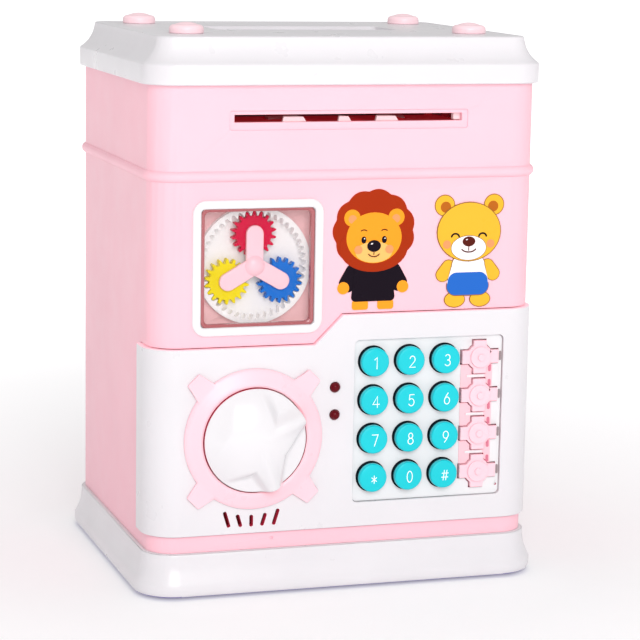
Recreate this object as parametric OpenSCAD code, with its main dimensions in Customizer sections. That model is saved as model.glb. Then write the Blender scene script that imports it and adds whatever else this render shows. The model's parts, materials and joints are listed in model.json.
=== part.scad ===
// Toy safe coin bank with a planetary gear display, note feeder and keypad door.
// Front faces -Y, up is +Z, the origin is under the middle of the base.

/* [Body] */
// Width of the body, side to side
body_w = 123; // [110:0.5:135]
// Depth of the body, front to back
body_d = 101; // [90:0.5:115]
// Radius of the upright corners
body_r = 9; // [8:0.5:11]
// Wall thickness of the body
wall = 2.4; // [2:0.1:3]
// Height of the body shell
body_h = 142; // [138:1:150]
// Height of the bead above the shell's lower edge
bead_up = 114.9; // [110:0.1:118]

/* [Base] */
// Height of the base's shoulder above the ground
base_top = 14; // [13:0.5:16]
// How far the rubber feet lift the base
foot_h = 0.6; // [0.4:0.1:1.2]
// How far the base spreads past the body
base_flare = 3.6; // [3:0.1:5]

/* [Cap] */
// Height of the cap above the body shell
cap_h = 14.2; // [13:0.1:16]
// How far the cap's band stands past the body
cap_band = 1.9; // [1.5:0.1:2.5]
// Height of the cap's straight band
cap_band_h = 6.1; // [5:0.1:7]
// Length of the coin slot
coin_len = 32; // [28:0.5:34]
// Width of the coin slot
coin_w = 3.2; // [2.8:0.1:3.6]

/* [Door] */
// How far the door stands past the body
door_proud = 1.3; // [1:0.1:1.6]
// Height of the door's lower edge
door_z0 = 19.4; // [19:0.1:20]
// Height of the door's lower left top edge
door_z1 = 77; // [76:0.1:78]
// Height of the door's upper right top edge
door_z2 = 86; // [85:0.1:87]
// Thickness of the door panel
door_t = 2.5; // [2:0.1:3]
// Depth the door wraps round each side
door_wrap = 14.5; // [14:0.1:16]

/* [Knob] */
// Sideways place of the knob
knob_x = -30.1; // [-31:0.1:-29]
// Height of the knob
knob_z = 48.9; // [48:0.1:50]
// Outer radius of the knob's collar
ring_r = 21.8; // [21:0.1:22.5]
// Radius of the knob
knob_r = 16; // [15:0.1:16.2]

/* [Keypad] */
// Radius of a number key
key_r = 4.45; // [4:0.05:4.8]
// Sideways pitch of the keys
key_px = 11.65; // [11.4:0.05:11.9]
// Upright pitch of the keys
key_pz = 12.12; // [12:0.02:12.3]
// How far a number key stands past the keypad's floor
key_proud = 3; // [2:0.1:3.4]
// How far a key goes in
key_travel = 1; // [0.6:0.1:1]

/* [Gear window] */
// Sideways place of the gear window
win_x = -28.9; // [-30:0.1:-28]
// Height of the gear window's middle
win_z = 101.3; // [100:0.1:102]
// Width of the window's white frame
win_w = 41; // [40:0.1:42]
// Teeth of the fixed ring gear
ring_n = 45; // [45:3:45]
// Teeth of each planet gear
planet_n = 18; // [18:1:18]
// Module of the display gears
gear_m = 0.711; // [0.7:0.001:0.72]

/* [Note slot] */
// Length of the note slot
note_len = 72.3; // [70:0.1:76]
// Height of the note slot's opening
note_gap = 2.3; // [2:0.1:3]
// Height of the note slot's middle
note_z = 146.05; // [145.5:0.05:146.5]

/* [Hidden] */
$fn = 64;
pink = [0.97, 0.72, 0.76];
white = [0.95, 0.94, 0.95];
aqua = [0.18, 0.8, 0.84];
steel = [0.72, 0.73, 0.75];
dark = [0.15, 0.15, 0.17];
yf = -body_d / 2;
yd = yf - door_proud;
body_top = base_top + body_h;
cap_top = body_top + cap_h;
gap = 0.35;
door_end = yf + door_wrap;
hinge_x = body_w / 2 + door_proud - 2.8;
hinge_y = yf + 11.6;
key_x0 = 8.2;
key_z0 = 71.2;
pad_x0 = 2.1;
pad_x1 = 51;
pad_z0 = 27;
pad_z1 = 78;
pad_floor = yd + 1;
pad_t = 1.8;
fn_x = 43.2;
orbit = gear_m * (ring_n - planet_n) / 2;
latch_m = 0.9;
latch_n = 8;
latch_r = latch_m * latch_n / 2;
bolt_y0 = -32.9;
bolt_y1 = -30.4;
cover_y0 = -38.6;
cover_y1 = -36.6;
feed_y = -34;
feed_z = 149.6;
pinch_z = 141.9;
feed_m = 0.6;
feed_n = 19;
pinion_n = 15;
grip_h = 8.2;
// the origin lies midway between the grip's face and the base's back edge
y_mid = (grip_h + door_proud - base_flare) / 2;

// ---------- helpers ----------

// rounded rectangle, flat
module rrect(w, d, r) {
  square([w - 2 * r, d], center = true);
  square([w, d - 2 * r], center = true);
  for (sx = [-1, 1], sy = [-1, 1])
    translate([sx * (w / 2 - r), sy * (d / 2 - r)])
      circle(r = r);
}

// upright rounded box standing on z = 0
module rbox(w, d, h, r) {
  linear_extrude(height = h)
    rrect(w, d, r);
}

// front-view shape (x, z) given thickness from y0 to y1
module plate(y0, y1) {
  translate([0, y1, 0])
    rotate([90, 0, 0])
      linear_extrude(height = y1 - y0)
        children();
}

// round bar along Y
module ybar(x, z, y0, y1, r) {
  translate([x, y1, z])
    rotate([90, 0, 0])
      cylinder(h = y1 - y0, r = r);
}

// round bar along X
module xbar(x0, x1, y, z, r) {
  translate([x0, y, z])
    rotate([0, 90, 0])
      cylinder(h = x1 - x0, r = r);
}

// turned shape about a Y axis: profile x = radius, y = distance forward
module turned(x, y, z) {
  translate([x, y, z])
    rotate([90, 0, 0])
      rotate_extrude()
        children();
}

// moulding swept round a rounded rectangle: profile x = outward, y = up
module moulding(w, d, r) {
  for (q = [0 : 3])
    rotate([0, 0, 90 * q]) {
      a = q % 2 == 0 ? w : d;
      b = q % 2 == 0 ? d : w;
      translate([a / 2 - r, b / 2 - r, 0])
        rotate_extrude(angle = 90)
          translate([r, 0])
            children();
      translate([-(a - 2 * r) / 2, b / 2, 0])
        rotate([90, 0, 90])
          linear_extrude(height = a - 2 * r)
            children();
    }
}

// one gear tooth, pointing along +X
module tooth(n, m, k) {
  rp = n * m / 2;
  w = k * PI * m / 2;
  polygon([[rp - 1.45 * m, -w * 1.45], [rp - 1.0 * m, -w * 1.32], [rp, -w],
    [rp + 0.5 * m, -w * 0.76], [rp + 0.92 * m, -w * 0.42],
    [rp + 0.92 * m, w * 0.42], [rp + 0.5 * m, w * 0.76], [rp, w],
    [rp - 1.0 * m, w * 1.32], [rp - 1.45 * m, w * 1.45]]);
}

// flat spur gear
module gear(n, m, k) {
  circle(r = n * m / 2 - 1.15 * m);
  for (i = [0 : n - 1])
    rotate(i * 360 / n)
      tooth(n, m, k);
}

// front outline of the door, grown by g
module door_outline(g) {
  polygon([[-80, door_z0 - g], [80, door_z0 - g], [80, door_z2 + g],
    [-1.8 - 0.41 * g, door_z2 + g], [-10.8 - 0.41 * g, door_z1 + g],
    [-80, door_z1 + g]]);
}

// self-tapping screw, head up, pointing down from z = 0
module screw(head_r, r, len) {
  difference() {
    union() {
      translate([0, 0, -len])
        cylinder(h = len, r = r);
      cylinder(h = 1.6, r = head_r);
    }
    for (a = [0, 90])
      rotate([0, 0, a])
        translate([-head_r * 0.62, -0.4, 0.8])
          cube([head_r * 1.24, 0.8, 1]);
  }
}

// ---------- base ----------

base_posts = [[-50, -27], [50, -27], [-50, 27], [50, 27]];

module base_tray() {
  color(white)
    difference() {
      union() {
        difference() {
          moulding(body_w, body_d, body_r)
            difference() {
              polygon([[-5, foot_h], [base_flare - 1.8, foot_h],
                [base_flare - 0.53, foot_h + 0.53],
                [base_flare, foot_h + 1.8], [base_flare, 4.8],
                [base_flare - 0.25, 5.1], [base_flare - 0.25, 12.9],
                [1.3, 13], [1.3, 13.6], [0.9, base_top], [-3, base_top],
                [-3, 3.2], [-5, 3.2]]);
              translate([17.6, 13])
                circle(r = 16.3, $fn = 128);
            }
        }
        translate([0, 0, foot_h])
          rbox(body_w - 8, body_d - 8, 2.6, body_r - 4);
        for (s = [-1, 1]) {
          translate([-20, s * (body_d / 2 - wall - 1.9) - 0.8, 3])
            cube([40, 1.6, 14]);
          translate([s * (body_w / 2 - wall - 1.9) - 0.8, -14, 3])
            cube([1.6, 36, 14]);
          translate([-20, min(s * (body_d / 2 - 2.8), s * (body_d / 2 - 5.1)), 3])
            cube([40, 2.3, 8]);
          translate([min(s * (body_w / 2 - 2.8), s * (body_w / 2 - 5.1)), -14, 3])
            cube([2.3, 36, 8]);
        }
        // battery box
        translate([-27, -14, 3])
          cube([54, 62, 18.6 - 1.2]);
        for (p = base_posts)
          translate([p[0], p[1], foot_h])
            cylinder(h = base_top - foot_h - 0.1, r = 4.2);
        // switch box
        translate([-46, -12, 3])
          cube([15, 10, 5]);
      }
      translate([-25, -12, -1])
        cube([50, 56, 19.6]);
      // seat of the battery cover
      translate([-28, -17, foot_h - 1])
        cube([56, 65.4, 2.8]);
      for (s = [-1, 1])
        translate([s * 14 - 4, -19.2, foot_h - 1])
          cube([8, 3, 2.8]);
      translate([0, 46, -1])
        cylinder(h = 12, r = 0.85);
      for (p = base_posts)
        translate([p[0], p[1], -1]) {
          cylinder(h = 30, r = 1.5);
          cylinder(h = 8.2, r = 2.9);
        }
      // switch slot
      translate([-42.5, -8.5, -1])
        cube([8, 3, 6]);
      translate([-44.5, -10.5, 2.2])
        cube([12, 7, 4.4]);
      for (sx = [-1, 1], sy = [-1, 1])
        translate([sx * 54, sy * 42, -1])
          cylinder(h = 2.1, r = 4.1);
    }
}

module rubber_feet() {
  color([0.55, 0.5, 0.6])
    for (sx = [-1, 1], sy = [-1, 1])
      translate([sx * 54, sy * 42, 0])
        union() {
          cylinder(h = 1.1, r = 4);
        }
}

module shell_screws() {
  color(steel) {
    for (p = base_posts)
      translate([p[0], p[1], 7.1])
        rotate([180, 0, 0])
          screw(2.6, 1.25, 15);
    for (p = cap_posts)
      translate([p[0], p[1], cap_top - 4.2])
        screw(2.6, 1.25, 15);
  }
}

module battery_cover() {
  color(white)
    difference() {
      union() {
        translate([-27.7, -16.7, foot_h])
          cube([55.4, 64.8, 1.6]);
        for (s = [-1, 1])
          translate([s * 14 - 3.7, -18.8, foot_h + 0.8])
            cube([7.4, 3.4, 0.8]);
      }
      translate([0, 46, -1])
        cylinder(h = 6, r = 1.1);
      translate([0, 46, foot_h - 0.1])
        cylinder(h = 1, r = 1.9);
      for (i = [0 : 5])
        translate([-9, 30 + 1.8 * i, foot_h - 0.1])
          cube([18, 0.8, 0.5]);
    }
}

module battery_screw() {
  color(steel)
    translate([0, 46, foot_h + 0.85])
      difference() {
        union() {
          translate([0, 0, -0.75])
            cylinder(h = 0.8, r = 1.75);
          cylinder(h = 7, r = 0.8);
        }
        for (a = [0, 90])
          rotate([0, 0, a])
            translate([-1.3, -0.25, -0.9])
              cube([2.6, 0.5, 0.5]);
      }
}

module batteries() {
  for (i = [-1 : 1])
    translate([i * 15.2, 16, 10.2])
      rotate([i == 0 ? 90 : -90, 0, 0])
        translate([0, 0, -25.25]) {
          color(dark)
            cylinder(h = 49.2, r = 7);
          color(steel)
            translate([0, 0, 49.2])
              cylinder(h = 1.2, r = 2.7);
        }
}

module battery_contacts() {
  color(steel)
    for (i = [-1 : 1], e = [-1, 1]) {
      // one plate at each end of each cell: a coil or a raised dot
      y = e < 0 ? -11.5 : 43.5;
      coil = (i == 0 ? 1 : -1) == e;
      translate([i * 15.2 - 4.5, y - 0.2, 4])
        cube([9, 0.4, 13]);
      if (coil)
        for (k = [0 : 2])
          translate([i * 15.2, y - e * (0.45 + k * 0.62), 10.2])
            rotate([90, 0, 0])
              rotate_extrude()
                translate([3.4 - k * 0.2, 0])
                  circle(r = 0.36, $fn = 24);
      else
        ybar(i * 15.2, 10.2, min(y, y - e * 2), max(y, y - e * 2), 2.2);
    }
}

module power_switch() {
  color(dark)
    union() {
      translate([-41.9, -8.2, 0.9])
        cube([3.2, 2.4, 2.4]);
      translate([-43.4, -9.8, 3.3])
        cube([7, 5.6, 1.6]);
    }
}

// ---------- body ----------

cap_posts = [[-45.8, -28], [45.8, -28], [-45.8, 33], [45.8, 33]];

module body_shell() {
  color(pink)
    difference() {
      union() {
        difference() {
          translate([0, 0, base_top])
            rbox(body_w, body_d, body_h, body_r);
          translate([0, 0, base_top - 1])
            rbox(body_w - 2 * wall, body_d - 2 * wall, body_h + 2, body_r - wall);
        }
        // bead
        translate([0, 0, base_top + bead_up])
          moulding(body_w, body_d, body_r)
            intersection() {
              translate([-0.5, 0])
                circle(r = 1.7);
              translate([-0.6, -2])
                square([3, 4]);
            }
        // posts for the base and cap screws
        for (p = base_posts) {
          translate([p[0], p[1], base_top])
            cylinder(h = 12, r = 3.4);
          translate([p[0] > 0 ? p[0] : p[0] - 10, p[1] - 1, base_top])
            cube([10, 2, 12]);
        }
        for (p = cap_posts) {
          translate([p[0], p[1], body_top - 16])
            cylinder(h = 16, r = 3.4);
          translate([p[0] > 0 ? p[0] : p[0] - 14, p[1] - 1, body_top - 16])
            cube([14, 2, 16]);
        }
        // lugs that hold the hinge pins
        for (z = [base_top, door_z2 + gap])
          translate([hinge_x - 3.6, hinge_y - 3.6, z])
            cube([4.5, 7.2, z > 50 ? 7 : door_z0 - gap - base_top]);
        // rib the latch hooks behind
        translate([-body_w / 2 + wall - 0.4, -35.2, 49])
          cube([4.9, 2, 12]);
        // rails for the note guide
        for (s = [-1, 1])
          translate([s * 44 - 1.5, yf + 1.5, 134.6])
            cube([3, 14, 4]);
      }
      // mouth of the vault
      intersection() {
        plate(-90, door_end + gap)
          door_outline(gap);
        translate([-100, -100, 0])
          cube([200, 200, 300]);
      }
      // gear window
      plate(-60, -40)
        translate([win_x, win_z])
          rrect(37.4, 37.6, 2.6);
      // note slot and its shallow surround
      plate(-60, -40)
        translate([-0.45, note_z])
          square([note_len, note_gap], center = true);
      plate(-60, yf + 0.5)
        translate([-0.35, note_z - 0.55])
          rrect(75.7, 5.8, 0.8);
      // hinge pin holes
      translate([hinge_x, hinge_y, base_top + 0.2])
        cylinder(h = 10, r = 1.25);
      translate([hinge_x, hinge_y, door_z2 - 2])
        cylinder(h = 8.3, r = 1.25);
      for (p = base_posts)
        translate([p[0], p[1], base_top - 1])
          cylinder(h = 11, r = 1.3);
      for (p = cap_posts)
        translate([p[0], p[1], body_top - 12])
          cylinder(h = 14, r = 1.3);
      // moulding gate mark under the door
      ybar(-23.5, 17.1, -60, yf + 0.4, 0.45);
    }
}

module hinge_pins() {
  color(steel) {
    translate([hinge_x, hinge_y, base_top + 0.3])
      cylinder(h = 12, r = 1.2);
    translate([hinge_x, hinge_y, door_z2 - 7.5])
      cylinder(h = 13.6, r = 1.2);
  }
}

// ---------- cap ----------

module cap() {
  color(white)
    difference() {
      union() {
        translate([0, 0, body_top])
          moulding(body_w, body_d, body_r)
            difference() {
              polygon([[-5.4, 0.05], [cap_band - 0.3, 0.05], [cap_band, 0.35],
                [cap_band, cap_band_h - 0.2], [cap_band - 0.2, cap_band_h],
                [cap_band - 0.2, cap_h - 0.3], [-3.1, cap_h - 0.3],
                [-3.4, cap_h], [-8.6, cap_h], [-8.6, cap_h - 2.4],
                [-5.8, cap_h - 2.4], [-2.4, cap_band_h], [-2.4, 2.4],
                [-5.4, 2.4]]);
              translate([7, 14.65])
                circle(r = 10, $fn = 128);
            }
        translate([0, 0, cap_top - 2.4])
          rbox(body_w - 16, body_d - 16, 2.4, 1);
        // skirt inside the body
        translate([-32, body_d / 2 - 4.3, body_top - 3.5])
          cube([64, 1.4, 6]);
        for (s = [-1, 1])
          translate([s * (body_w / 2 - 3.6) - 0.7, -18, body_top - 3.5])
            cube([1.4, 40, 6]);
        for (p = cap_posts)
          translate([p[0], p[1], body_top + 0.1])
            cylinder(h = cap_h - 1, r = 3.8);
        // guide of the reset button
        translate([47.5, 1.5, cap_top - 6])
          cylinder(h = 5, r = 2.9);
      }
      // sunk field with the coin slot
      translate([-0.5, 2.5, cap_top - 1])
        rbox(59, 22.6, 3, 2);
      translate([1.5, 2.5, cap_top - 4])
        rbox(coin_len, coin_w, 6, 1.2);
      for (p = cap_posts)
        translate([p[0], p[1], 0]) {
          translate([0, 0, body_top - 1])
            cylinder(h = 20, r = 1.5);
          translate([0, 0, cap_top - 4.2])
            cylinder(h = 10, r = 3.0);
        }
      translate([47.5, 1.5, cap_top - 8])
        cylinder(h = 12, r = 1.5);
      translate([47.5, 1.5, cap_top - 8])
        cylinder(h = 6.4, r = 2.1);
      // seat of the coin chute
      translate([1.5, 2.5, cap_top - 3])
        rbox(coin_len + 6.4, coin_w + 6.4, 1.2, 2.4);
    }
}

module cap_plugs() {
  color(pink)
    for (p = cap_posts)
      translate([p[0], p[1], cap_top])
        rotate_extrude()
          difference() {
            union() {
              translate([0, -2.3])
                square([2.9, 2.4]);
              square([5.3, 1.2]);
              intersection() {
                translate([0, -5.6])
                  circle(r = 9, $fn = 96);
                square([4.7, 4]);
              }
              intersection() {
                translate([3.9, 1.2])
                  circle(r = 1.4);
                square([6, 4]);
              }
            }
            translate([-5, -6])
              square([5, 16]);
          }
}

module reset_button() {
  color(dark)
    union() {
      translate([47.5, 1.5, cap_top - 5.2])
        cylinder(h = 4.6, r = 1.3);
      translate([47.5, 1.5, cap_top - 3.1])
        cylinder(h = 1.2, r = 1.9);
    }
}

module coin_chute() {
  z1 = cap_top - 1.9;
  color(white)
    difference() {
      union() {
        translate([1.5, 2.5, z1 - 1])
          rbox(coin_len + 6, coin_w + 6, 1, 2.2);
        translate([1.5, 2.5, z1 - 18])
          rbox(coin_len + 3, coin_w + 3, 18, 1.6);
      }
      translate([1.5, 2.5, z1 - 19])
        rbox(coin_len + 0.2, coin_w + 0.2, 21, 1.2);
    }
}

// ---------- note feeder ----------

module note_guide() {
  color(white)
    difference() {
      union() {
        // lower plate and side cheeks
        translate([-40, yf + wall + 0.2, 143.2])
          cube([80, 20.5, 1.5]);
        for (s = [-1, 1])
          translate([s * 40.8 - 1.2, yf + wall + 0.2, 138.7])
            cube([2.4, 26, 15.4]);
        translate([-45.6, yf + wall + 0.2, 138.7])
          cube([91.2, 10, 1.6]);
        // wedges seen through the slot
        for (x = [-17, 0, 13])
          translate([x, yf + wall + 0.3, 144.6])
            rotate([90, 0, 90])
              linear_extrude(height = 5)
                polygon([[0, 0], [9, 0], [9, 0.7], [2.5, 0.7]]);
        for (x = [-12.5, 17])
          translate([x, yf + wall + 0.2, 148.2])
            cube([4, 8, 5.8]);
        translate([-42, yf + wall + 0.2, 153])
          cube([84, 9, 1.2]);
        // motor bracket
        translate([32.2, -29, 143.2])
          cube([1.6, 9, 10.9]);
      }
      // gaps for the rollers below
      for (x = [-18, 18])
        translate([x - 5, feed_y - 4.6, 140])
          cube([10, 9.2, 6]);
      xbar(-50, 50, feed_y, feed_z, 1.25);
      xbar(-50, 50, feed_y, pinch_z, 1.25);
      xbar(31, 35, feed_y + 10.2, feed_z, 2.2);
      // room for the feed gear
      translate([35.9, feed_y - 8.2, 140.6])
        cube([3.3, 24, 16]);
      xbar(38, 44, feed_y + 10.2, feed_z, 1.4);
    }
}

module feed_rollers() {
  color([0.35, 0.1, 0.12])
    for (x = [-18, 18])
      difference() {
        xbar(x - 4, x + 4, feed_y, feed_z, 3.9);
        xbar(x - 5, x + 5, feed_y, feed_z, 1.2);
      }
}

module feed_shaft() {
  color(steel)
    xbar(-43.5, 43.5, feed_y, feed_z, 1.2);
  color(white)
    translate([36.2, feed_y, feed_z])
      rotate([90, 0, 90])
        difference() {
          linear_extrude(height = 2.7)
            rotate(180 / feed_n)
              gear(feed_n, feed_m, 0.42);
          translate([0, 0, -1])
            cylinder(h = 6, r = 1);
        }
}

module pinch_rollers() {
  color([0.93, 0.92, 0.9])
    union() {
      xbar(-43.5, 43.5, feed_y, pinch_z, 1.2);
      for (x = [-18, 18])
        xbar(x - 4, x + 4, feed_y, pinch_z, 3.6);
    }
}

module motors() {
  color(steel) {
    // note motor
    difference() {
      union() {
        xbar(12, 32, feed_y + 10.2, feed_z, 5.8);
        xbar(32, 34.6, feed_y + 10.2, feed_z, 2);
      }
      xbar(33, 36, feed_y + 10.2, feed_z, 0.8);
    }
    // gear display motor
    difference() {
      union() {
        ybar(win_x, win_z, -40.9, -22, 8.5);
        ybar(win_x, win_z, -41.4, -40.8, 3);
      }
      ybar(win_x, win_z, -42, -30, 1.05);
    }
  }
}

module motor_pinion() {
  color([0.9, 0.85, 0.7])
    translate([36.2, feed_y + 10.2, feed_z])
      rotate([90, 0, 90])
        union() {
          linear_extrude(height = 2.7)
            rotate(180)
              gear(pinion_n, feed_m, 0.42);
          translate([0, 0, -2.9])
            cylinder(h = 8, r = 0.75);
        }
}

// ---------- gear window ----------

module window_frame() {
  color(white)
    difference() {
      union() {
        plate(yf - 0.8, yf)
          translate([win_x, win_z])
            rrect(win_w, win_w + 0.2, 4.3);
        plate(yf - 0.1, yf + wall)
          translate([win_x, win_z])
            rrect(37.1, 37.3, 2.4);
      }
      plate(yf - 2, yf + wall + 1)
        translate([win_x, win_z])
          rrect(34.6, 35.4, 1.6);
      plate(yf - 2, yf + 0.6)
        translate([win_x, win_z])
          rrect(35.6, 36.4, 2);
    }
}

module window_pane() {
  color([0.85, 0.9, 0.95, 0.35])
    plate(yf - 0.6, yf + 0.5)
      translate([win_x, win_z])
        rrect(35.4, 36.2, 1.9);
}

module ring_gear() {
  color(white)
    difference() {
      union() {
        plate(yf + wall + 0.1, -41.6)
          translate([win_x, win_z])
            rrect(39.6, 39.8, 3);
        for (s = [-1, 1])
          plate(yf + wall + 0.1, -46)
            translate([win_x + s * 22, win_z - s * 12])
              rrect(6, 6, 2);
      }
      plate(yf + wall - 1, -46.2)
        translate([win_x, win_z])
          rrect(36.4, 36.6, 2.2);
      // deeper corners outside the round rim
      plate(-46.3, -44)
        translate([win_x, win_z])
          difference() {
            rrect(36.4, 36.6, 2.2);
            circle(r = 18);
          }
      plate(-47, -43.2)
        translate([win_x, win_z])
          rotate(90)
            gear(ring_n, gear_m, 0.6);
      ybar(win_x, win_z, -50, -40, 1.6);
    }
}

module carrier() {
  color(pink)
    union() {
      for (a = [90, 210, 330]) {
        plate(-47.4, -46.3)
          translate([win_x, win_z])
            rotate(a)
              translate([0, -2.7])
                square([orbit, 5.4]);
        ybar(win_x + orbit * cos(a), win_z + orbit * sin(a), -47.4, -46.3, 2.7);
        ybar(win_x + orbit * cos(a), win_z + orbit * sin(a), -46.5, -43.6, 1.2);
      }
      ybar(win_x, win_z, -47.4, -46.3, 3.1);
      turned(win_x, -47.3, win_z)
        difference() {
          translate([0, -3.05])
            circle(r = 4.35);
          translate([-10, -12])
            square([20, 12]);
          translate([-10, -1])
            square([10, 6]);
        }
      ybar(win_x, win_z, -46.5, -43.5, 2.1);
      ybar(win_x, win_z, -43.5, -31.5, 1);
    }
}

module planet(a, c) {
  color(c)
    difference() {
      plate(-46, -43.6)
        translate([win_x + orbit * cos(a), win_z + orbit * sin(a)])
          rotate(a)
            gear(planet_n, gear_m, 0.42);
      ybar(win_x + orbit * cos(a), win_z + orbit * sin(a), -50, -40, 1.26);
    }
}

module planet_red() {
  planet(90, [0.9, 0.1, 0.4]);
}

module planet_yellow() {
  planet(210, [0.95, 0.85, 0.2]);
}

module planet_blue() {
  planet(330, [0.1, 0.35, 0.85]);
}

// ---------- door ----------

door_posts = [[-51, 27], [-51, 70], [-3.4, 25], [53, 23.4], [53, 81.6]];

module door_panel() {
  color(white)
    difference() {
      union() {
        intersection() {
          difference() {
            rbox(body_w + 2 * door_proud, body_d + 2 * door_proud, 100,
              body_r + door_proud);
            translate([0, 0, -1])
              rbox(body_w + 2 * door_proud - 2 * door_t,
                body_d + 2 * door_proud - 2 * door_t, 102,
                body_r + door_proud - door_t);
          }
          difference() {
            plate(-90, door_end)
              door_outline(0);
            translate([hinge_x - 8, hinge_y, 0])
              cube([30, 20, 120]);
          }
        }
        translate([hinge_x, hinge_y, door_z0])
          cylinder(h = door_z2 - door_z0, r = 2.8);
        // screw posts
        for (p = door_posts)
          ybar(p[0], p[1], yd + door_t - 1.2, cover_y0, 2.3);
        // seat for the speaker
        difference() {
          ybar(-30.4, 32.6, yd + door_t - 0.5, -46.6, 9);
          ybar(-30.4, 32.6, yd + door_t - 1, -46, 8.15);
        }
      }
      translate([hinge_x, hinge_y, door_z0 - 1])
        cylinder(h = 9, r = 1.25);
      translate([hinge_x, hinge_y, door_z2 - 8])
        cylinder(h = 9, r = 1.25);
      // knob hole
      ybar(knob_x, knob_z, -60, -40, 6.4);
      // lamp holes
      for (z = [55.1, 63.7])
        ybar(-4.2, z, -60, -46, 1.65);
      // keypad opening
      plate(-60, -46)
        translate([(pad_x0 + pad_x1) / 2, (pad_z0 + pad_z1) / 2])
          rrect(pad_x1 - pad_x0, pad_z1 - pad_z0, 1.5);
      // sound slots
      for (i = [-2 : 2])
        plate(-60, -47)
          translate([-30.4 + 3.9 * i, 23.3 + 0.19 * i * i])
            rotate(-17 * sign(i))
              rrect(1.1, 3.6 + 0.38 * i * i, 0.5);
      for (p = door_posts)
        ybar(p[0], p[1], -47, cover_y0 + 1, 0.9);
    }
}

module door_screws() {
  color(steel)
    for (p = door_posts)
      translate([p[0], cover_y1, p[1]])
        rotate([-90, 0, 0])
          screw(2, 0.85, 7);
}

module cover_outline(g) {
  polygon([[-55 + g, 20.2 + g], [56 - g, 20.2 + g], [56 - g, 84.4 - g],
    [0.5 + g, 84.4 - g], [-8 + g, 74.4 - g], [-55 + g, 74.4 - g]]);
}

module door_cover() {
  color([0.9, 0.89, 0.9])
    difference() {
      union() {
        difference() {
          plate(-48.2, cover_y1)
            cover_outline(0);
          plate(-50, cover_y0)
            cover_outline(1.6);
        }
        for (p = door_posts)
          ybar(p[0], p[1], cover_y0 - 0.1, cover_y1, 3);
        // raised bed that carries the bolt
        translate([-52.4, cover_y1 - 0.2, 43])
          cube([31.4, 3.5, 15.2]);
        // loops round the bolt
        for (x = [-51.4, -42]) {
          translate([x, cover_y1, 49.4])
            cube([2.4, 7.6, 1.8]);
          translate([x, cover_y1, 57.3])
            cube([2.4, 7.6, 1.8]);
          translate([x, bolt_y1 + 0.3, 49.4])
            cube([2.4, 1.3, 9.7]);
        }
      }
      // the bed is cut away for the knob's gear
      for (p = door_posts)
        ybar(p[0], p[1], -50, -30, 1);
      ybar(knob_x, knob_z, -50, -30, 3.08);
      ybar(knob_x, knob_z, bolt_y0 - 0.4, -28, 6.2);
      for (p = door_posts)
        ybar(p[0], p[1], -50, cover_y0, 2.5);
    }
}

module knob_ring() {
  color(pink)
    difference() {
      union() {
        turned(knob_x, yd, knob_z)
          polygon([[10, 0], [ring_r, 0], [ring_r, 0.7], [ring_r - 0.4, 1.1],
            [18.6, 2], [17.5, 2.5], [16.9, 2.5], [16.5, 2.2], [10, 2.2]]);
        for (a = [45 : 90 : 315])
          plate(yd - 1.1, yd)
            translate([knob_x, knob_z])
              rotate(a)
                polygon([[17, -4.1], [20.5, -3.8], [26.7, -2.6], [27, -2.3],
                  [27, 2.3], [26.7, 2.6], [20.5, 3.8], [17, 4.1]]);
      }
      ybar(knob_x, knob_z, -60, yd + 1, 16.45);
    }
}

grip_dir = [29, 105, 209, 285];

module knob() {
  color(white)
    union() {
      turned(knob_x, yd, knob_z)
        polygon([[0, 0.3], [knob_r, 0.3], [knob_r, 2.3], [knob_r - 0.5, 2.8],
          [0, 3.4]]);
      ybar(knob_x, knob_z, yd - 0.5, -46.4, 6);
      // four-armed grip
      for (a = grip_dir)
        plate(yd - grip_h, yd - 2.2)
          translate([knob_x, knob_z])
            rotate(a) {
              polygon([[0, -7.2], [6, -5.4], [12.9, -3.1], [12.9, 3.1],
                [6, 5.4], [0, 7.2]]);
              translate([12.9, 0])
                circle(r = 3.1);
            }
    }
}

module knob_cam() {
  color([0.85, 0.85, 0.86])
    difference() {
      union() {
        ybar(knob_x, knob_z, -46.4, bolt_y0 - 0.2, 3);
        ybar(knob_x, knob_z, bolt_y0 - 0.3, bolt_y1 + 1.7, 2.3);
        plate(bolt_y0, bolt_y1)
          translate([knob_x, knob_z])
            rotate(90)
              gear(latch_n, latch_m, 0.42);
        ybar(knob_x, knob_z, bolt_y1 + 0.35, bolt_y1 + 1.75, 9);
      }
      // notches for the lock plunger, unlocked and locked
      for (a = [270, 185])
        plate(bolt_y1, bolt_y1 + 3)
          translate([knob_x, knob_z])
            rotate(a)
              translate([6.2, -1.7])
                square([5, 3.4]);
    }
}

module latch_bolt() {
  color([0.8, 0.8, 0.82])
    plate(bolt_y0, bolt_y1)
      difference() {
        union() {
          translate([-53.4, 51.5])
            square([18.4, 5.5]);
          translate([-36, 53.5])
            square([17.4, 3.5]);
          // rack
          for (i = [-2 : 3])
            translate([knob_x + (i + 0.5) * PI * latch_m, knob_z + latch_r])
              polygon([[-1, 1.15], [-0.59, 0], [-0.28, -0.8], [0.28, -0.8],
                [0.59, 0], [1, 1.15]]);
        }
        translate([-53.5, 51.4])
          polygon([[0, 0], [1.2, 0], [0, 1.2]]);
      }
}

module solenoid() {
  color(steel)
    difference() {
      translate([knob_x - 6, cover_y1 + 0.1, 25])
        cube([12, 10.3, 12]);
      translate([knob_x, -29.4, 26])
        cylinder(h = 14, r = 1.1);
    }
}

module plunger() {
  color([0.6, 0.6, 0.63])
    translate([knob_x, -29.4, 30])
      cylinder(h = 9.2, r = 1.05);
}

module led_lenses() {
  color([0.45, 0.03, 0.06])
    for (z = [55.1, 63.7])
      turned(-4.2, yd, z)
        difference() {
          union() {
            translate([0, -3.8])
              square([1.55, 3.9]);
            translate([0, -4.4])
              square([2.1, 1.2]);
            circle(r = 1.55);
          }
          translate([-3, -6])
            square([3, 12]);
        }
}

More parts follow.
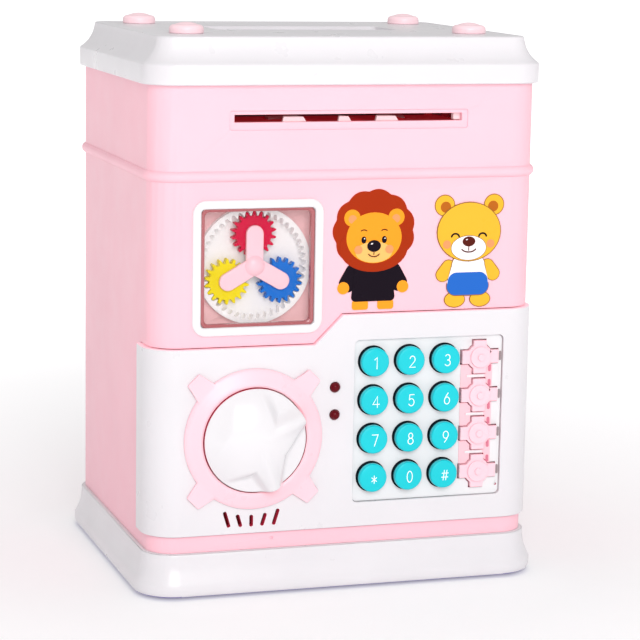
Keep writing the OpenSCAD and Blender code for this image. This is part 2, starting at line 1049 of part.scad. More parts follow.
module speaker() {
  color(dark)
    difference() {
      union() {
        ybar(-30.4, 32.6, -49, -47.6, 8);
        ybar(-30.4, 32.6, -47.7, -45.2, 5.2);
      }
      turned(-30.4, -49.1, 32.6)
        polygon([[0, 0.5], [6.6, 0.5], [6.6, -0.2], [2.5, -1.1], [0, -1.1]]);
    }
}

// ---------- keypad ----------

module keypad_panel() {
  color([0.93, 0.92, 0.94])
    difference() {
      union() {
        plate(pad_floor, pad_floor + pad_t)
          translate([(pad_x0 + pad_x1) / 2, (pad_z0 + pad_z1) / 2])
            rrect(pad_x1 - pad_x0 - 0.3, pad_z1 - pad_z0 - 0.3, 1.4);
        plate(yd + door_t + 0.05, yd + door_t + 1)
          translate([(pad_x0 + pad_x1) / 2, (pad_z0 + pad_z1) / 2])
            rrect(pad_x1 - pad_x0 + 2, pad_z1 - pad_z0 + 1.2, 1.4);
      }
      for (c = [0 : 2], r = [0 : 3]) {
        ybar(key_x0 + c * key_px, key_z0 - r * key_pz, -60, -40, key_r + 0.4);
        ybar(key_x0 + c * key_px, key_z0 - r * key_pz, pad_floor + 1.1, -40,
          key_r + 0.65);
      }
      for (r = [0 : 3]) {
        plate(-60, -40)
          translate([fn_x, key_z0 - r * key_pz])
            cog(0.3);
        ybar(fn_x, key_z0 - r * key_pz, pad_floor + 1.1, -40, 5.9);
      }
      ybar(49.9, 30, -60, pad_floor + 0.6, 0.4);
    }
}

// front outline of a function key, grown by g
module cog(g) {
  circle(r = 4.1 + g);
  for (arm = [[0, 6.2], [90, 5.2], [180, 5.9], [270, 5.2]])
    rotate(arm[0])
      translate([0, -(2.1 + g)])
        square([arm[1] + g, 4.2 + 2 * g]);
}

module number_key(c, r) {
  x = key_x0 + c * key_px;
  z = key_z0 - r * key_pz;
  color(aqua)
    union() {
      turned(x, pad_floor, z)
        polygon([[0, -1.2], [key_r, -1.2], [key_r, key_proud - 0.7],
          [key_r - 0.25, key_proud - 0.2], [key_r - 0.8, key_proud],
          [0, key_proud + 0.15]]);
      ybar(x, z, pad_floor + 1.2, pad_floor + 2.4, key_r + 0.5);
    }
}

module key_1() {
  number_key(0, 0);
}

module key_2() {
  number_key(1, 0);
}

module key_3() {
  number_key(2, 0);
}

module key_4() {
  number_key(0, 1);
}

module key_5() {
  number_key(1, 1);
}

module key_6() {
  number_key(2, 1);
}

module key_7() {
  number_key(0, 2);
}

module key_8() {
  number_key(1, 2);
}

module key_9() {
  number_key(2, 2);
}

module key_star() {
  number_key(0, 3);
}

module key_0() {
  number_key(1, 3);
}

module key_hash() {
  number_key(2, 3);
}

module function_key(r) {
  z = key_z0 - r * key_pz;
  color(pink)
    union() {
      plate(pad_floor - 1.2, pad_floor + 1.3)
        translate([fn_x, z])
          cog(0);
      ybar(fn_x, z, pad_floor + 1.2, pad_floor + 2.4, 5.7);
      ybar(fn_x, z, pad_floor - 2, pad_floor, 3.3);
      ybar(fn_x, z, pad_floor - 2.6, pad_floor, 1.1);
    }
}

module function_key_1() {
  function_key(0);
}

module function_key_2() {
  function_key(1);
}

module function_key_3() {
  function_key(2);
}

module function_key_4() {
  function_key(3);
}

module key_membrane() {
  y0 = pad_floor + 4.2;
  color([0.75, 0.75, 0.78])
    union() {
      plate(y0, y0 + 0.8)
        translate([(pad_x0 + pad_x1) / 2, (pad_z0 + pad_z1) / 2])
          rrect(pad_x1 - pad_x0 - 1, pad_z1 - pad_z0 - 1, 1.4);
      for (c = [0 : 3], r = [0 : 3])
        ybar(c == 3 ? fn_x : key_x0 + c * key_px, key_z0 - r * key_pz,
          y0 - 0.6, y0 + 0.1, 3);
    }
}

module key_board() {
  y0 = pad_floor + 5.1;
  color([0.1, 0.45, 0.25])
    union() {
      plate(y0, y0 + 1.6)
        translate([(pad_x0 + pad_x1) / 2 - 3.2, (pad_z0 + pad_z1) / 2])
          rrect(pad_x1 - pad_x0 + 5.4, pad_z1 - pad_z0 - 2, 1);
      for (z = [55.1, 63.7])
        ybar(-4.2, z, -47.2, y0 + 0.1, 1.2);
      translate([12, y0 + 1.5, 40])
        cube([12, 1.6, 12]);
      translate([30, y0 + 1.5, 58])
        cube([8, 2.4, 5]);
      for (i = [0 : 4])
        translate([10 + 4 * i, y0 + 1.5, 32])
          cube([2, 1.2, 1.2]);
    }
}

module power_board() {
  color([0.1, 0.45, 0.25])
    union() {
      translate([27.1, -6, 3.3])
        cube([1.5, 30, 14]);
      translate([28.5, 0, 6])
        cube([3, 8, 8]);
      xbar(28.5, 36, 17, 10, 3);
    }
}

// ---------- picture stickers ----------

module sticker_lion() {
  translate([7.8, 0]) {
    translate([0, 112.4])
      circle(r = 12.2);
    translate([0, 95.6])
      rrect(12, 14, 3);
    for (s = [-1, 1]) {
      translate([s * 3.8, 89.2])
        rrect(6, 4.6, 2);
      translate([s * 7.4, 97.4])
        rotate(s * 30)
          rrect(4.4, 10, 2.1);
    }
  }
}

module sticker_bear() {
  translate([39.2, 0]) {
    translate([0, 110.6])
      circle(r = 9.4);
    for (s = [-1, 1]) {
      translate([s * 7.6, 118.4])
        circle(r = 3.2);
      translate([s * 4, 89.4])
        rrect(6, 5, 2.2);
      translate([s * 7.4, 98.6])
        rotate(s * 36)
          rrect(4.4, 10, 2.1);
    }
    translate([0, 97])
      rrect(13, 14, 4);
  }
}

module stickers() {
  color([0.75, 0.4, 0.15])
    plate(yf - 0.25, yf)
      sticker_lion();
  color([0.95, 0.8, 0.4])
    plate(yf - 0.25, yf)
      sticker_bear();
}

// ---------- assembly ----------

module put() {
  translate([0, y_mid, 0])
    children();
}

put() base_tray();
put() rubber_feet();
put() shell_screws();
put() battery_cover();
put() battery_screw();
put() batteries();
put() battery_contacts();
put() power_switch();
put() body_shell();
put() cap();
put() cap_plugs();
put() reset_button();
put() coin_chute();
put() note_guide();
put() feed_rollers();
put() feed_shaft();
put() pinch_rollers();
put() motors();
put() motor_pinion();
put() window_frame();
put() window_pane();
put() ring_gear();
put() carrier();
put() planet_red();
put() planet_yellow();
put() planet_blue();
put() door_panel();
put() door_cover();
put() door_screws();
put() knob_ring();
put() knob();
put() knob_cam();
put() latch_bolt();
put() solenoid();
put() plunger();
put() led_lenses();
put() keypad_panel();
put() key_membrane();
put() key_board();
put() power_board();
put() key_1();
put() key_2();
put() key_3();
put() key_4();
put() key_5();
put() key_6();
put() key_7();
put() key_8();
put() key_9();
put() key_star();
put() key_0();
put() key_hash();
put() function_key_1();
put() function_key_2();
put() function_key_3();
put() function_key_4();
put() speaker();
put() hinge_pins();
put() stickers();
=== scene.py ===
"""Looks of a toy safe coin bank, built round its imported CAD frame."""

import math

import bmesh
import bpy
from mathutils import Matrix, Vector
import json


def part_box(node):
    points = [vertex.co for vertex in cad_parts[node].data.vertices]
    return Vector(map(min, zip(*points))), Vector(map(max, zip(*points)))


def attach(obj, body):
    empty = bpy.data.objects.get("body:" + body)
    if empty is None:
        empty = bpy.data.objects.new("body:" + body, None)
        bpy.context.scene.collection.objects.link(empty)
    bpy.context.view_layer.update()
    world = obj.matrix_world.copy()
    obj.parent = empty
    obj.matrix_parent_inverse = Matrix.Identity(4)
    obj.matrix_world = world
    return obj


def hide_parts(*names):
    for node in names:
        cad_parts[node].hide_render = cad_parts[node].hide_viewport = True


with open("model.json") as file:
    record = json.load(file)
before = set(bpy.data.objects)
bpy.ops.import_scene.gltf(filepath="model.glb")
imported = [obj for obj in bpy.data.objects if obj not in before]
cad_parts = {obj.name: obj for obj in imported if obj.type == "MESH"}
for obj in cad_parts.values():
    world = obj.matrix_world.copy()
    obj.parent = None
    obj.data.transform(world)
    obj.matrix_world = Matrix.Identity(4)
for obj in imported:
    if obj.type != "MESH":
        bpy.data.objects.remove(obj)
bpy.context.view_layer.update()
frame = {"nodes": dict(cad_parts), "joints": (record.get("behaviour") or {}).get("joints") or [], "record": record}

MM = 0.001
TAU = 2 * math.pi
WELD = 2e-6
JOINTS = {joint["name"]: joint for joint in frame["joints"]}
BODY_OF = {
    node: body
    for body, nodes in frame["record"]["behaviour"]["bodies"].items()
    for node in nodes
}

SLOT_OF = {s["node"]: s["material_slot"] for s in frame["record"]["subparts"]}

# Planes that several pieces share, from the frame.
BODY_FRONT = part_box("stickers")[1].y
DOOR_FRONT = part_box("door_panel")[0].y


# ---------- materials ----------


def node_at(tree, kind, **inputs):
    """A new shader node with its named inputs set."""
    node = tree.nodes.new(kind)
    for name, value in inputs.items():
        node.inputs[name.replace("_", " ")].default_value = value
    return node


def shade(colour, factor):
    """The colour made lighter or darker, with full alpha."""
    return tuple(min(1.0, c * factor) for c in colour) + (1.0,)


def finish_of(
    name,
    colour,
    rough=0.35,
    rough_swing=0.05,
    grain=0.006,
    grain_size=0.5,
    mottle=0.02,
    wave=0.006,
    metal=0.0,
    coat=0.0,
    alpha=1.0,
    scatter=0.0,
    brushed=None,
    gloss=0.5,
    painted_glow=0.0,
):
    """A moulded, plated or rubber surface.

    grain and wave are bump depths in mm, grain_size is the grain's pitch in mm,
    mottle is the share by which the colour drifts, brushed is the axis along
    which a metal was drawn, and the last, the glow, is painted light: a faint
    emission standing in for the light that thin plastic and close walls scatter."""
    material = bpy.data.materials.new(name)
    material.use_nodes = True
    tree = material.node_tree
    link = tree.links.new
    shader = tree.nodes["Principled BSDF"]
    shader.inputs["Metallic"].default_value = metal
    shader.inputs["Coat Weight"].default_value = coat
    shader.inputs["Coat Roughness"].default_value = 0.12
    shader.inputs["Alpha"].default_value = alpha
    shader.inputs["IOR"].default_value = 1.5
    shader.inputs["Specular IOR Level"].default_value = gloss
    shader.inputs["Emission Color"].default_value = shade(colour, 1)
    shader.inputs["Emission Strength"].default_value = painted_glow
    if scatter:
        shader.inputs["Subsurface Weight"].default_value = scatter
        shader.inputs["Subsurface Radius"].default_value = (1.0, 0.7, 0.75)
        shader.inputs["Subsurface Scale"].default_value = 1.2 * MM

    place = tree.nodes.new("ShaderNodeTexCoord").outputs["Object"]
    if brushed is not None:
        stretch = node_at(tree, "ShaderNodeMapping")
        stretch.inputs["Scale"].default_value = [
            0.03 if i == brushed else 1.0 for i in range(3)
        ]
        link(place, stretch.inputs["Vector"])
        place = stretch.outputs["Vector"]

    drift = node_at(tree, "ShaderNodeTexNoise", Scale=38.0, Detail=3.0)
    link(place, drift.inputs["Vector"])
    tint = tree.nodes.new("ShaderNodeValToRGB")
    tint.color_ramp.elements[0].position = 0.3
    tint.color_ramp.elements[1].position = 0.7
    tint.color_ramp.elements[0].color = shade(colour, 1 - mottle)
    tint.color_ramp.elements[1].color = shade(colour, 1 + 0.5 * mottle)
    link(drift.outputs["Fac"], tint.inputs["Fac"])
    link(tint.outputs["Color"], shader.inputs["Base Color"])

    smear = node_at(tree, "ShaderNodeTexNoise", Scale=120.0, Detail=4.0)
    link(place, smear.inputs["Vector"])
    spread = node_at(tree, "ShaderNodeMapRange")
    spread.inputs["From Min"].default_value = 0.3
    spread.inputs["From Max"].default_value = 0.7
    spread.inputs["To Min"].default_value = max(0.02, rough - rough_swing)
    spread.inputs["To Max"].default_value = rough + rough_swing
    link(smear.outputs["Fac"], spread.inputs["Value"])
    link(spread.outputs["Result"], shader.inputs["Roughness"])

    fine = node_at(tree, "ShaderNodeTexNoise", Scale=1 / (grain_size * MM), Detail=2.0)
    broad = node_at(tree, "ShaderNodeTexNoise", Scale=45.0, Detail=1.0)
    link(place, fine.inputs["Vector"])
    link(place, broad.inputs["Vector"])
    texture = node_at(tree, "ShaderNodeBump", Strength=1.0, Distance=grain * MM)
    swell = node_at(tree, "ShaderNodeBump", Strength=1.0, Distance=wave * MM)
    link(fine.outputs["Fac"], texture.inputs["Height"])
    link(broad.outputs["Fac"], swell.inputs["Height"])
    link(texture.outputs["Normal"], swell.inputs["Normal"])
    link(swell.outputs["Normal"], shader.inputs["Normal"])
    return material


PINK = (0.93, 0.525, 0.60)
WHITE = (0.71, 0.685, 0.71)
AQUA = (0.0, 0.55, 0.62)

pink_shell = finish_of("pink_satin", PINK, 0.42, scatter=0.05, gloss=0.2)
pink_gloss = finish_of("pink_bright", (0.95, 0.58, 0.65), 0.3, grain=0.003, gloss=0.4)
plug_pink = finish_of("plug_pink", (0.96, 0.68, 0.73), 0.35, grain=0.003)
pink_strip = finish_of("pink_strip", (0.92, 0.53, 0.59), 0.4, grain=0.003, gloss=0.3)
# painted shade with a painted glow, tinted rose, for the white gear bed's sunk corners
painted_corner_shade = finish_of("painted_corner_shade", (0.78, 0.47, 0.48), 0.45, painted_glow=0.12)
white_shell = finish_of("white_satin", WHITE, 0.32, scatter=0.04, coat=0.1)
white_gloss = finish_of("white_bright", (0.73, 0.71, 0.73), 0.22, grain=0.003, coat=0.15)
# white gear plastic with a painted glow
gear_white = finish_of("gear_white", (0.76, 0.73, 0.73), 0.3, grain=0.003, painted_glow=0.16)
white_matt = finish_of("white_matt", (0.70, 0.68, 0.69), 0.5, grain=0.015, mottle=0.05)
keypad_white = finish_of("keypad_white", (0.74, 0.735, 0.75), 0.36)
# painted shade: dark lilac on the base's underside, so the shadowed gap above the floor reads dark
painted_underside_shade = finish_of("painted_underside_shade", (0.15, 0.12, 0.36), 0.4)
key_aqua = finish_of("key_aqua", AQUA, 0.34, grain=0.004, mottle=0.04, gloss=0.35)
# white print with a painted glow
digit_white = finish_of("digit_white", (0.85, 0.9, 0.9), 0.4, grain=0.003, painted_glow=0.1)
red_gear = finish_of("red_gear", (0.62, 0.001, 0.045), 0.25, gloss=0.2)
yellow_gear = finish_of("yellow_gear", (0.82, 0.66, 0.004), 0.25, gloss=0.2)
blue_gear = finish_of("blue_gear", (0.004, 0.15, 0.60), 0.25, gloss=0.2)
clear_plastic = finish_of(
    "clear_plastic", (0.02, 0.02, 0.02), 0.05, 0.02, 0.0, 1.0, 0.01, 0.0, alpha=0.04
)
# painted light: dark rose for the pink body refracted in the window pane's edge
painted_rim_refraction = finish_of("painted_rim_refraction", (0.40, 0.10, 0.11), 0.15, coat=0.4)
# painted shade with a painted glow: deep red for the walls of holes and gaps, where shade falls
painted_red_gap_shade = finish_of("painted_red_gap_shade", (0.50, 0.03, 0.07), 0.4, painted_glow=0.15)
# painted shade: dark pink for the walls round the function keys and the notches between their teeth
painted_notch_shade = finish_of("painted_notch_shade", (0.62, 0.17, 0.25), 0.5)
# painted shade: grey pads beside the function keys, where the gap at each key's end falls dark
painted_slot_shade = finish_of("painted_slot_shade", (0.30, 0.24, 0.25), 0.5)
# painted shade: near black for the walls round the number keys and the keys' lower sides, so the gaps read dark
painted_dark_gap_shade = finish_of("painted_dark_gap_shade", (0.004, 0.02, 0.03), 0.7, grain=0.01, gloss=0.1)
red_lamp = finish_of("red_lamp", (0.11, 0.0, 0.004), 0.05, 0.01, 0.0, wave=0.0, gloss=0.15)
red_gauze = finish_of("red_gauze", (0.10, 0.001, 0.006), 0.8, grain=0.05, gloss=0.1)
# painted shade with a painted glow: the note guide dark red, as it looks in the shaded note slot
painted_red_shade_glow = finish_of("painted_red_shade_glow", (0.30, 0.008, 0.014), 0.6, grain=0.02, painted_glow=0.42)
# pale with a painted glow, for the ribs in the shaded note slot
pale_guide = finish_of("pale_guide", (0.80, 0.62, 0.64), 0.5, grain=0.01, painted_glow=0.25)
plated = finish_of(
    "plated", (0.62, 0.62, 0.64), 0.3, 0.1, 0.01, 0.3, 0.08, 0.0, 1.0, brushed=1
)
tin_can = finish_of(
    "tin_can", (0.55, 0.55, 0.57), 0.35, 0.12, 0.01, 0.3, 0.1, 0.01, 1.0, brushed=0
)
cell_sleeve = finish_of("cell_sleeve", (0.03, 0.03, 0.035), 0.25, coat=0.4)
solder_mask = finish_of("solder_mask", (0.015, 0.16, 0.05), 0.3, mottle=0.15)
silicone = finish_of("silicone", (0.40, 0.22, 0.26), 0.6, grain=0.03)
# dark red rubber with a painted glow
wheel_rubber = finish_of("wheel_rubber", (0.24, 0.008, 0.014), 0.7, grain=0.05, painted_glow=0.4)
# painted light: the door's top edge made rose and glowing, for pink light bounced into the gap above the door
painted_rose_gap_light = finish_of("painted_rose_gap_light", (0.85, 0.52, 0.58), 0.5, painted_glow=0.4)
foot_rubber = finish_of("foot_rubber", (0.33, 0.28, 0.42), 0.7, grain=0.05)
black_matt = finish_of("black_matt", (0.02, 0.02, 0.022), 0.45, grain=0.03)
speaker_cone = finish_of("speaker_cone", (0.05, 0.006, 0.012), 0.6, grain=0.04)


# ---------- mesh helpers ----------


def add_piece(name, bm, materials, body, slot=None, smooth=35, replaces=()):
    """Turns a bmesh into a piece that rides on a body."""
    bmesh.ops.recalc_face_normals(bm, faces=bm.faces)
    mesh = bpy.data.meshes.new(name)
    bm.to_mesh(mesh)
    bm.free()
    for material in materials:
        mesh.materials.append(material)
    mesh.shade_smooth()
    mesh.set_sharp_from_angle(angle=math.radians(smooth))
    piece = bpy.data.objects.new(name, mesh)
    bpy.context.scene.collection.objects.link(piece)
    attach(piece, body)
    if replaces:
        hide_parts(*replaces)
    return piece


def soften(piece, width, segments, clamp, angle=32):
    """Rounds a piece's edges. clamp keeps narrow faces from being overrun."""
    edge = piece.modifiers.new("rounded edges", "BEVEL")
    edge.width = width * MM
    edge.segments = segments
    edge.limit_method = "ANGLE"
    edge.angle_limit = math.radians(angle)
    edge.use_clamp_overlap = clamp
    edge.harden_normals = True
    edge.miter_outer = "MITER_ARC"
    return piece


def moulded(
    node, material, width, segments=2, clamp=False, others=(), which=None, weld=WELD
):
    """A piece with the CAD node's own shape and rounded edges.

    which(middle, normal, corners) says which finish a face gets: 0 is the
    main one and 1, 2 ... are the others."""
    bm = bmesh.new()
    bm.from_mesh(frame["nodes"][node].data)
    bmesh.ops.remove_doubles(bm, verts=bm.verts, dist=weld)
    bmesh.ops.dissolve_limit(
        bm, angle_limit=math.radians(0.08), verts=bm.verts, edges=bm.edges
    )
    for face in bm.faces:
        corners = [vert.co for vert in face.verts]
        if which:
            face.material_index = int(
                which(face.calc_center_median(), face.normal, corners)
            )
    materials = [material, *others]
    return soften(stand_in(node, bm, materials), width, segments, clamp)


def stand_in(node, bm, materials, smooth=35):
    """Turns a bmesh into the piece that is shown in place of a CAD node."""
    return add_piece(
        node + ".piece", bm, materials, BODY_OF[node], SLOT_OF[node], smooth, [node]
    )


def lathe(bm, profile, place, steps=72, material=0):
    """Turns (radius, outward) points about an axis along Y at place."""
    rings = []
    for radius, out in profile:
        if radius < 1e-9:
            rings.append([bm.verts.new(place + Vector((0, -out, 0)))])
            continue
        ring = []
        for i in range(steps):
            a = TAU * i / steps
            at = Vector((radius * math.cos(a), -out, radius * math.sin(a)))
            ring.append(bm.verts.new(place + at))
        rings.append(ring)
    for a, b in zip(rings, rings[1:]):
        bridge(bm, a, b, steps, material)


def bridge(bm, a, b, steps, material):
    """Joins two rings of vertices; a ring of one vertex closes to a point."""
    for i in range(steps):
        j = (i + 1) % steps
        corners = [a[i % len(a)], a[j % len(a)], b[j % len(b)], b[i % len(b)]]
        corners = list(dict.fromkeys(corners))
        if len(corners) > 2:
            bm.faces.new(corners).material_index = material


def arc(x, z, rx, rz, start, end, steps=20):
    """Points on an arc, in degrees."""
    angles = [math.radians(start + (end - start) * i / steps) for i in range(steps + 1)]
    return [(x + rx * math.cos(a), z + rz * math.sin(a)) for a in angles]


def oval(x, z, rx, rz=None, turn=0, steps=40):
    """A closed oval outline."""
    rz = rx if rz is None else rz
    c, s = math.cos(math.radians(turn)), math.sin(math.radians(turn))
    points = [
        (rx * math.cos(TAU * i / steps), rz * math.sin(TAU * i / steps))
        for i in range(steps)
    ]
    return [(x + c * u - s * v, z + s * u + c * v) for u, v in points]


def pill(x, z, w, h, r, turn=0):
    """A closed rounded rectangle outline."""
    c, s = math.cos(math.radians(turn)), math.sin(math.radians(turn))
    points = []
    for sx, sz, start in ((1, 1, 0), (-1, 1, 90), (-1, -1, 180), (1, -1, 270)):
        points += arc(sx * (w / 2 - r), sz * (h / 2 - r), r, r, start, start + 90, 8)
    return [(x + c * u - s * v, z + s * u + c * v) for u, v in points]


def slab(bm, outline, back, front, material=0):
    """A flat plate with an outline in XZ (metres), from y = back to y = front."""
    far = [bm.verts.new((x, back, z)) for x, z in outline]
    near = [bm.verts.new((x, front, z)) for x, z in outline]
    faces = [bm.faces.new(near), bm.faces.new(far[::-1])]
    for i in range(len(outline)):
        j = (i + 1) % len(outline)
        faces.append(bm.faces.new((near[i], far[i], far[j], near[j])))
    for face in faces:
        face.material_index = material


def stroke(points, width):
    """The closed outline of a round-ended stroke along points."""
    r = width / 2
    left, right = [], []
    for i, (x, z) in enumerate(points):
        ax, az = points[max(0, i - 1)]
        bx, bz = points[min(len(points) - 1, i + 1)]
        length = math.hypot(bx - ax, bz - az) or 1.0
        nx, nz = -(bz - az) / length * r, (bx - ax) / length * r
        left.append((x + nx, z + nz))
        right.append((x - nx, z - nz))

    def cap(at, side):
        (x, z), (px, pz) = points[at], side
        start = math.degrees(math.atan2(pz - z, px - x))
        return arc(x, z, r, r, start, start - 180, 6)[1:-1]

    return left + cap(-1, left[-1]) + right[::-1] + cap(0, right[0])


def loft(bm, loops, material=0, closed=False):
    """Skins loops of points that have the same count.

    closed joins the last loop to the first; otherwise both ends are capped."""
    rows = [[bm.verts.new(point) for point in loop] for loop in loops]
    pairs = list(zip(rows, rows[1:])) + ([(rows[-1], rows[0])] if closed else [])
    faces = []
    for a, b in pairs:
        for i in range(len(a)):
            j = (i + 1) % len(a)
            faces.append(bm.faces.new((a[i], a[j], b[j], b[i])))
    if not closed:
        faces += [bm.faces.new(rows[0][::-1]), bm.faces.new(rows[-1])]
    for face in faces:
        face.material_index = material


def rounded_plate(bm, outline, back, front, edge, material=0, steps=4):
    """A plate whose front edge is a quarter round; outline(inset) gives points."""
    loops = [[(x, back, z) for x, z in outline(0)]]
    for i in range(steps + 1):
        a = math.pi / 2 * i / steps
        y = front + edge * (1 - math.sin(a))
        loops.append([(x, y, z) for x, z in outline(edge * (1 - math.cos(a)))])
    loft(bm, loops, material)


# ---------- moulded shells ----------

HUB = Vector(JOINTS["carrier_spin"]["pos_m"])
KNOB = Vector(JOINTS["knob_turn"]["pos_m"])
GEAR_RIM = 17.4 * MM  # radius of the gear bed's round rim
KNOB_BORE = 17.2 * MM  # the ring's faces nearer the knob's axis are its bore


def in_corner(middle, normal, corners):
    """The sunk floor of the gear bed outside its round rim, which takes painted shade."""
    reach = min(math.hypot(c.x - HUB.x, c.z - HUB.z) for c in corners)
    return normal.y < -0.9 and reach > GEAR_RIM


def underside(middle, normal, corners):
    """The faces of the base that look down at the floor, which take painted shade."""
    return normal.z < -0.9 and middle.z < 1.5 * MM


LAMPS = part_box("led_lenses")
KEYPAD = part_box("keypad_panel")
FUNCTION_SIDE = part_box("function_key_1")[0].x - 0.5 * MM


def door_wall(middle, normal, corners):
    """1 for the walls of the lamp holes and sound slots, which take painted red shade, 2 for the top edge, which
    takes painted rose light.
    """
    slots = abs(middle.x - KNOB.x) < 11 * MM and 19 * MM < middle.z < 30 * MM
    small = max(abs(c.x - middle.x) + abs(c.z - middle.z) for c in corners) < 4 * MM
    low, high = LAMPS
    beside = max(low.x - middle.x, middle.x - high.x, low.z - middle.z, middle.z - high.z)
    lamps = beside < 0.8 * MM
    if abs(normal.y) < 0.3 and small and (slots or lamps):
        return 1
    # the door's top edge takes painted rose light
    return 2 if normal.z > 0.5 and middle.z > 75 * MM else 0


def key_hole_wall(middle, normal, corners):
    """1 for the walls round number keys, which take painted dark shade, 2 for those round function keys, which
    take painted pink shade.
    """
    low, high = KEYPAD
    edge = min(middle.x - low.x, high.x - middle.x, middle.z - low.z, high.z - middle.z)
    if abs(normal.y) > 0.3 or edge < 0.8 * MM:
        return 0
    return 2 if middle.x > FUNCTION_SIDE else 1


def ring_bore(middle, normal, corners):
    """The wall of the hole that the knob sits in, which takes painted red shade."""
    reach = max(math.hypot(c.x - KNOB.x, c.z - KNOB.z) for c in corners)
    return abs(normal.y) < 0.5 and reach < KNOB_BORE


moulded("body_shell", pink_shell, 0.15)
moulded("cap", white_shell, 0.3, clamp=True, weld=0.06 * MM)
# the base's underside takes painted shade
moulded("base_tray", white_shell, 0.4, 3, others=[painted_underside_shade], which=underside)
moulded(
    "door_panel", white_shell, 0.15, others=[painted_red_gap_shade, painted_rose_gap_light], which=door_wall
)
moulded("door_cover", white_matt, 0.2)
moulded("battery_cover", white_shell, 0.1)
moulded("knob_ring", pink_gloss, 0.2, others=[painted_red_gap_shade], which=ring_bore)
moulded(
    "keypad_panel",
    keypad_white,
    0.08,
    1,
    clamp=True,
    others=[painted_dark_gap_shade, painted_notch_shade],
    which=key_hole_wall,
)
# the gear bed's sunk corners take painted shade
moulded("ring_gear", gear_white, 0.08, 1, others=[painted_corner_shade], which=in_corner)
moulded("planet_red", red_gear, 0.15, clamp=True)
moulded("planet_yellow", yellow_gear, 0.15, clamp=True)
moulded("planet_blue", blue_gear, 0.15, clamp=True)
moulded("cap_plugs", plug_pink, 0.3, clamp=True)
moulded("coin_chute", white_matt, 0.3, clamp=True)
moulded("latch_bolt", plated, 0.1)
for number in range(1, 5):
    moulded(f"function_key_{number}", pink_gloss, 0.2, 3)


def window_frame():
    """The white frame of the gear window, with a soft front edge."""
    low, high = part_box("window_frame")
    x, z = (low.x + high.x) / 2, (low.z + high.z) / 2
    w, h = high.x - low.x, high.z - low.z
    flange_back, tube = low.y + 0.8 * MM, 1.95 * MM
    bar, fillet = 2.7 * MM, 0.55 * MM
    bm = bmesh.new()

    def loop(inset, y, radius):
        points = pill(x, z, w - 2 * inset, h - 2 * inset, max(radius, 0.9 * MM))
        return [(u, y, v) for u, v in points]

    loops = [loop(tube, high.y, 2.4 * MM), loop(tube, flange_back, 2.4 * MM)]
    loops.append(loop(0, flange_back, 4.3 * MM))
    arc_steps = 5
    for i in range(arc_steps + 1):
        a = math.pi / 2 * i / arc_steps
        inset = fillet * (1 - math.cos(a))
        loops.append(loop(inset, low.y + fillet * (1 - math.sin(a)), 4.3 * MM - inset))
    for i in range(arc_steps + 1):
        a = math.pi / 2 * i / arc_steps
        inset = bar - fillet * (1 - math.sin(a))
        depth = low.y + fillet * (1 - math.cos(a))
        loops.append(loop(inset, depth, 2.5 * MM - inset / 2))
    lip = low.y + 1.4 * MM
    loops += [loop(bar, lip, 1.6 * MM), loop(bar + 0.5 * MM, lip, 1.6 * MM)]
    loops.append(loop(bar + 0.5 * MM, high.y, 1.6 * MM))
    loft(bm, loops, closed=True)
    stand_in("window_frame", bm, [white_gloss], 30)


# how far in from the frame's opening, and how deep from its face, in mm
RIM_PROFILE = (
    (-0.4, 0.75),
    (0.0, 0.62),
    (0.35, 0.7),
    (0.65, 0.9),
    (0.7, 1.2),
    (0.7, 2.7),
    (-0.4, 2.7),
)


def window_pane():
    """The clear pane, and a rim at its edge coloured with painted light: the pink body refracted in the edge as a
    dark rose.
    """
    low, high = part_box("window_pane")
    x, z = (low.x + high.x) / 2, (low.z + high.z) / 2
    w, h = high.x - low.x, high.z - low.z
    bm = bmesh.new()
    rounded_plate(
        bm,
        lambda i: pill(x, z, w - 2 * i, h - 2 * i, 1.9 * MM - i),
        high.y,
        low.y,
        0.25 * MM,
    )
    stand_in("window_pane", bm, [clear_plastic])
    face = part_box("window_frame")[0].y
    bm = bmesh.new()
    loops = []
    for inset, depth in RIM_PROFILE:
        w, h = (34.6 - 2 * inset) * MM, (35.4 - 2 * inset) * MM
        points = pill(x, z, w, h, (1.8 - 0.4 * inset) * MM)
        loops.append([(u, face + depth * MM, v) for u, v in points])
    loft(bm, loops, closed=True)
    add_piece("window_rim_refraction", bm, [painted_rim_refraction], "case", "clear_pane")


